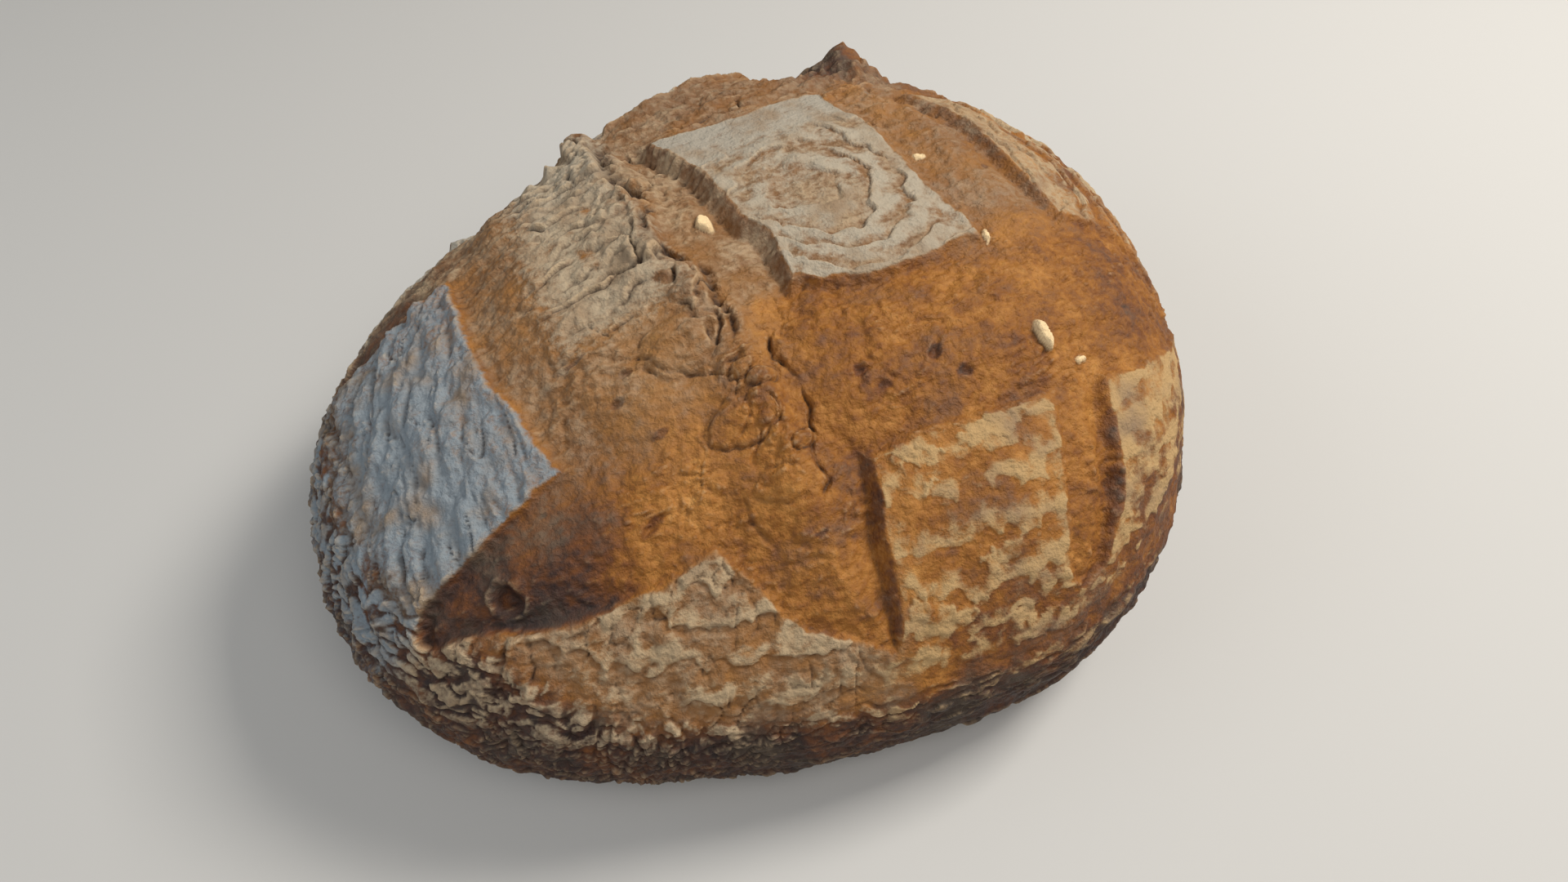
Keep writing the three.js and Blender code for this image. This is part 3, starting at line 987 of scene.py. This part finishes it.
def tint_and_cool_light_mask(crust, seen):
    """The flour's colour: 0 is warm cream, 0.5 a greyer cream and 1 a cool grey. The cool grey on the left
    panel is painted cool light, falling from the left.
    """
    right, rear = crust.right, crust.rear
    tint_and_cool_light = 0.50 + 0.10 * smooth(15, 40, rear) - 0.14 * (1 - seen.cut.on_skin)
    tint_and_cool_light = mix(tint_and_cool_light, 0.22, smooth(45, 60, right))
    front = mix(0.22, 0, smooth(-30, -10, right))
    tint_and_cool_light = mix(tint_and_cool_light, front, smooth(-40, -60, rear))
    tint_and_cool_light = mix(tint_and_cool_light, 0.30, seen.clumps.zone * smooth(-20, -80, right))
    # Painted cool light: the left panel's flour drawn cool grey, as lit from the left.
    tint_and_cool_light = mix(tint_and_cool_light, 1.0, seen.skin.left)
    return tint_and_cool_light * (1 - seen.marks.crumb)


# ---------------- mesh and material

# Where the two discs of the UV layout lie on its unit square.
TOP_CHART = SimpleNamespace(centre=(0.36, 0.36), radius=0.355)
BASE_CHART = SimpleNamespace(centre=(0.84, 0.84), radius=0.155)
CHART_SPLIT = WAIST_REACH + 5  # reach at which the crust passes from one disc to the other
CHART_MARGIN = 2  # spare length at each disc's edge, for faces that straddle the split


def chart_coordinates(crust):
    """UV of every face corner: one disc for the dome, one for the lower side and base."""
    corners = crust.quads.ravel()
    on_top = np.repeat(crust.reach[crust.quads].mean(axis=1) < CHART_SPLIT, 4)
    way = np.stack([np.cos(crust.angle), np.sin(crust.angle)], axis=1)[corners]
    reach = crust.reach[corners][:, None]
    top_length = CHART_SPLIT + CHART_MARGIN
    low_length = FULL_REACH - CHART_SPLIT + CHART_MARGIN
    top = np.array(TOP_CHART.centre) + way * reach * TOP_CHART.radius / top_length
    low = np.array(BASE_CHART.centre) + way * (FULL_REACH - reach) * BASE_CHART.radius / low_length
    return np.where(on_top[:, None], top, low)


def build_mesh(name, crust, coat):
    """A smooth-shaded mesh object with the coat's masks as attributes."""
    mesh = bpy.data.meshes.new(name)
    mesh.vertices.add(len(crust.position))
    mesh.vertices.foreach_set("co", (crust.position * METRES).ravel())
    mesh.loops.add(crust.quads.size)
    mesh.loops.foreach_set("vertex_index", crust.quads.ravel())
    mesh.polygons.add(len(crust.quads))
    mesh.polygons.foreach_set("loop_start", np.arange(0, crust.quads.size, 4))
    mesh.polygons.foreach_set("use_smooth", np.ones(len(crust.quads), bool))
    for mask, values in coat.items():
        mesh.attributes.new(mask, "FLOAT", "POINT").data.foreach_set("value", values)
    layer = mesh.uv_layers.new(name="OFBake")
    layer.data.foreach_set("uv", chart_coordinates(crust).ravel())
    mesh.update(calc_edges=True)
    loaf = bpy.data.objects.new(name, mesh)
    bpy.context.scene.collection.objects.link(loaf)
    return loaf


def linear(red, green, blue):
    """A colour given as sRGB values from 0 to 255, as Blender's linear ones. The numbers are sRGB's own."""
    values = (channel / 255 for channel in (red, green, blue))
    return (*(value / 12.92 if value <= 0.04045 else ((value + 0.055) / 1.055) ** 2.4 for value in values), 1)


class Tree:
    """Short calls that add nodes to a material and link them."""

    def __init__(self, material):
        material.use_nodes = True
        self.nodes = material.node_tree.nodes
        self.links = material.node_tree.links
        self.nodes.clear()

    def add(self, kind, inputs=(), **settings):
        node = self.nodes.new("ShaderNode" + kind)
        for name, value in settings.items():
            setattr(node, name, value)
        for socket, value in dict(inputs).items():
            self.put(node, socket, value)
        return node

    def put(self, node, socket, value):
        if isinstance(value, bpy.types.NodeSocket):
            self.links.new(value, node.inputs[socket])
        else:
            node.inputs[socket].default_value = value

    def mask(self, name):
        return self.add("Attribute", attribute_name=name).outputs["Fac"]

    def grain(self, place, size, detail):
        """Noise whose waves are so many millimetres long, 0 to 1 about 0.5."""
        inputs = {"Vector": place, "Scale": 1 / (size * METRES), "Detail": detail}
        return self.add("TexNoise", inputs).outputs["Fac"]

    def maths(self, operation, first, second):
        return self.add("Math", {0: first, 1: second}, operation=operation).outputs[0]

    def sway(self, value, grain, amount):
        """A value moved up and down by a grain."""
        offset = self.maths("MULTIPLY", self.maths("SUBTRACT", grain, 0.5), amount)
        return self.maths("ADD", value, offset)

    def step(self, value, low, high):
        """0 below low, 1 above high, and a smooth step between."""
        inputs = {"Value": value, "From Min": low, "From Max": high}
        node = self.add("MapRange", inputs, interpolation_type="SMOOTHSTEP")
        return node.outputs["Result"]

    def ramp(self, value, stops):
        """A colour between stops, each a place from 0 to 1 and an sRGB colour."""
        node = self.add("ValToRGB", {"Fac": value})
        elements = node.color_ramp.elements
        while len(elements) < len(stops):
            elements.new(0.5)
        for element, (position, colour) in zip(elements, stops):
            element.position = position
            element.color = linear(*colour)
        return node.outputs["Color"]

    def blend(self, first, second, share):
        """From the first colour to the second one, by a share."""
        colour_a, colour_b, colour_out = 6, 7, 2  # the node's colour sockets
        node = self.add("Mix", data_type="RGBA")
        self.put(node, "Factor", share)
        self.put(node, colour_a, first)
        self.put(node, colour_b, second)
        return node.outputs[colour_out]


# The finish of the crust. Colours are sRGB. Grain sizes and the bump height are in millimetres.
CRUST_STOPS = [  # from barely baked to nearly black
    (0.0, (204, 154, 90)), (0.22, (180, 124, 62)), (0.42, (151, 98, 44)),
    (0.62, (116, 72, 42)), (0.82, (78, 55, 46)), (1.0, (52, 43, 42)),
]
STRETCHED_STOPS = [(0.3, (104, 82, 64)), (0.5, (145, 121, 94)), (0.7, (184, 160, 128))]
# The cool grey end of the flour colours is painted cool light.
FLOUR_STOPS = [(0.0, (190, 157, 110)), (0.5, (180, 168, 148)), (1.0, (138, 149, 156))]  # warm to cool
STAINED_FLOUR = (150, 126, 100)
# Painted highlight colour, laid on crests.
PAINTED_HIGHLIGHT_COLOUR = (220, 190, 150)
# Painted shade colour, laid in hollows and cracks.
PAINTED_SHADE_COLOUR = (54, 40, 34)
CRUMB_COLOUR = (244, 214, 166)
MOTTLE_SIZE, SPECKLE_SIZE, FINE_SIZE, POWDER_SIZE = 11, 4.0, 1.7, 0.7
BUMP_HEIGHT = 0.68
BARE_ROUGHNESS = 0.54
FLOUR_ROUGHNESS = 0.35  # added where flour covers the crust
SPECULAR_LEVEL = 0.17


def crust_colour(tree, mottle, speckle, fine):
    """Bare crust, from orange-brown to nearly black, and greyish where it was stretched."""
    # The bake mask also holds painted shade on the cut walls, in the pits and on the lower side.
    bake_and_shade = tree.sway(tree.sway(tree.mask("bake_and_shade"), mottle, 0.75), speckle, 0.26)
    baked = tree.ramp(tree.sway(bake_and_shade, fine, 0.55), CRUST_STOPS)
    stretched = tree.ramp(tree.sway(fine, mottle, 0.9), STRETCHED_STOPS)
    return tree.blend(baked, stretched, tree.sway(tree.mask("pale"), mottle, 0.6))


def flour_colour(tree, mottle):
    """Dusted flour, stained by the crust here and there."""
    # Its cool grey end is painted cool light.
    dusting = tree.ramp(tree.mask("tint_and_cool_light"), FLOUR_STOPS)
    return tree.blend(dusting, linear(*STAINED_FLOUR), tree.step(mottle, 0.45, 0.8))


def flour_cover(tree, fine, powder):
    """How far flour hides the crust, broken up by the grain. A little crust always shows."""
    cover = tree.sway(tree.sway(tree.mask("flour"), powder, 0.5), fine, 0.9)
    return tree.maths("MULTIPLY", tree.step(cover, 0.2, 0.9), 0.94)


def crust_material():
    """Baked crust under flour: colours from the masks, with grain, mottling and fine bump of its own. The
    colour also holds painted shade in hollows, cracks and pits, a painted highlight on crests and painted
    cool light on the left panel.
    """
    material = bpy.data.materials.new("sourdough_crust")
    tree = Tree(material)
    place = tree.add("TexCoord").outputs["Object"]
    drawn_out = tree.add("VectorMath", {0: place, 1: (0.75, 1, 1)}, operation="MULTIPLY").outputs[0]
    mottle = tree.grain(place, MOTTLE_SIZE, 5)
    speckle = tree.grain(place, SPECKLE_SIZE, 2)
    fine = tree.grain(drawn_out, FINE_SIZE, 4)
    powder = tree.grain(place, POWDER_SIZE, 3)

    cover = flour_cover(tree, fine, powder)
    colour = tree.blend(crust_colour(tree, mottle, speckle, fine), flour_colour(tree, mottle), cover)
    # Painted highlight on crests.
    colour = tree.blend(colour, linear(*PAINTED_HIGHLIGHT_COLOUR), tree.maths("MULTIPLY", tree.mask("crest_highlight"), 0.38))
    # Painted shade in hollows and cracks.
    colour = tree.blend(colour, linear(*PAINTED_SHADE_COLOUR), tree.maths("MULTIPLY", tree.mask("crevice_shade"), 0.85))
    colour = tree.blend(colour, linear(*CRUMB_COLOUR), tree.mask("crumb"))

    rough = tree.maths("ADD", tree.maths("MULTIPLY", cover, FLOUR_ROUGHNESS), BARE_ROUGHNESS)
    height = tree.maths("ADD", fine, tree.maths("MULTIPLY", powder, 0.6))
    bump = tree.add("Bump", {"Height": height, "Distance": BUMP_HEIGHT * METRES, "Strength": 1.0})
    shader = tree.add("BsdfPrincipled", {
        "Base Color": colour, "Roughness": rough, "Normal": bump.outputs["Normal"],
        "Specular IOR Level": SPECULAR_LEVEL,
    })
    tree.add("OutputMaterial", {"Surface": shader.outputs["BSDF"]})
    return material


# ---------------- studio

def plain_material(name, colour, roughness):
    material = bpy.data.materials.new(name)
    tree = Tree(material)
    shader = tree.add("BsdfPrincipled", {"Base Color": colour, "Roughness": roughness})
    tree.add("OutputMaterial", {"Surface": shader.outputs["BSDF"]})
    return material


def add_floor():
    """A wide pale floor, so little under the base that the two faces don't share a plane. In metres."""
    half, gap = 3, 0.0002
    corners = [(-half, -half, 0), (half, -half, 0), (half, half, 0), (-half, half, 0)]
    mesh = bpy.data.meshes.new("studio_floor")
    mesh.from_pydata(corners, [], [(0, 1, 2, 3)])
    floor = bpy.data.objects.new("studio_floor", mesh)
    floor.location.z = CAD_BOX[0].z - gap
    mesh.materials.append(plain_material("pale_floor", linear(206, 204, 200), 0.9))
    bpy.context.scene.collection.objects.link(floor)


def around(azimuth, elevation):
    """Direction from the loaf to something at an azimuth and elevation; azimuth 0 is in front."""
    turn, lift = math.radians(azimuth), math.radians(elevation)
    return Vector((math.sin(turn) * math.cos(lift), -math.cos(turn) * math.cos(lift), math.sin(lift)))


def add_light(name, azimuth, elevation, distance, size, watts, colour):
    """A square area light aimed at the loaf; its distance and size are in metres."""
    light = bpy.data.lights.new(name, "AREA")
    light.size = size
    light.energy = watts
    light.color = colour
    lamp = bpy.data.objects.new(name, light)
    direction = around(azimuth, elevation)
    lamp.location = direction * distance
    lamp.rotation_mode = "QUATERNION"
    lamp.rotation_quaternion = direction.to_track_quat("Z", "Y")
    bpy.context.scene.collection.objects.link(lamp)


def add_lights():
    """A warm key from the right, a cool fill from the left, a broad top light and an even surround."""
    add_light("key", azimuth=88, elevation=50, distance=1.1, size=0.35, watts=9.1, colour=(1.0, 0.96, 0.90))
    add_light("fill", azimuth=-100, elevation=30, distance=1.2, size=0.9, watts=3.2, colour=(0.78, 0.89, 1.0))
    add_light("top", azimuth=5, elevation=58, distance=1.3, size=0.8, watts=5.4, colour=(1.0, 0.98, 0.96))
    world = bpy.data.worlds.new("studio")
    world.use_nodes = True
    background = world.node_tree.nodes["Background"]
    background.inputs["Color"].default_value = (1.0, 0.99, 0.97, 1)
    background.inputs["Strength"].default_value = 0.15
    bpy.context.scene.world = world


def add_camera(view_centre):
    """A 45 degree view from above and in front, turned so that the loaf's long side rises to the right."""
    azimuth, elevation, distance = -26, 52, 298
    view_angle = math.radians(45)  # from the bottom of the view to its top
    slide = (-6.8, 17.9)  # how far the loaf's middle is from the middle of the view, right and up
    camera = bpy.data.cameras.new("camera")
    camera.sensor_width = 36
    picture_shape = 1080 / 1920  # height over width
    camera.lens = camera.sensor_width * picture_shape / 2 / math.tan(view_angle / 2)
    camera.clip_start = 0.01
    back = around(azimuth, elevation)
    turn = math.radians(azimuth)
    across = Vector((math.cos(turn), math.sin(turn), 0))
    up = back.cross(across)
    target = Vector((*view_centre, HEIGHT / 2)) - slide[0] * across - slide[1] * up
    holder = bpy.data.objects.new("camera", camera)
    rows = Matrix((across, up, back)).transposed().to_4x4()
    rows.translation = (target + back * distance) * METRES
    holder.matrix_world = rows
    bpy.context.scene.collection.objects.link(holder)
    bpy.context.scene.camera = holder


crust = lay_out_crust()
add_camera(-crust.middle)
add_floor()
add_lights()

seen = survey(crust)
relief = total_relief(crust, seen)
move_vertices(crust, relief)
loaf = build_mesh("loaf_crust", crust, coat_masks(crust, seen, relief))
loaf.data.materials.append(crust_material())
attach(loaf, "root")
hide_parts(NODE)

bpy.context.scene.view_settings.view_transform = "Standard"
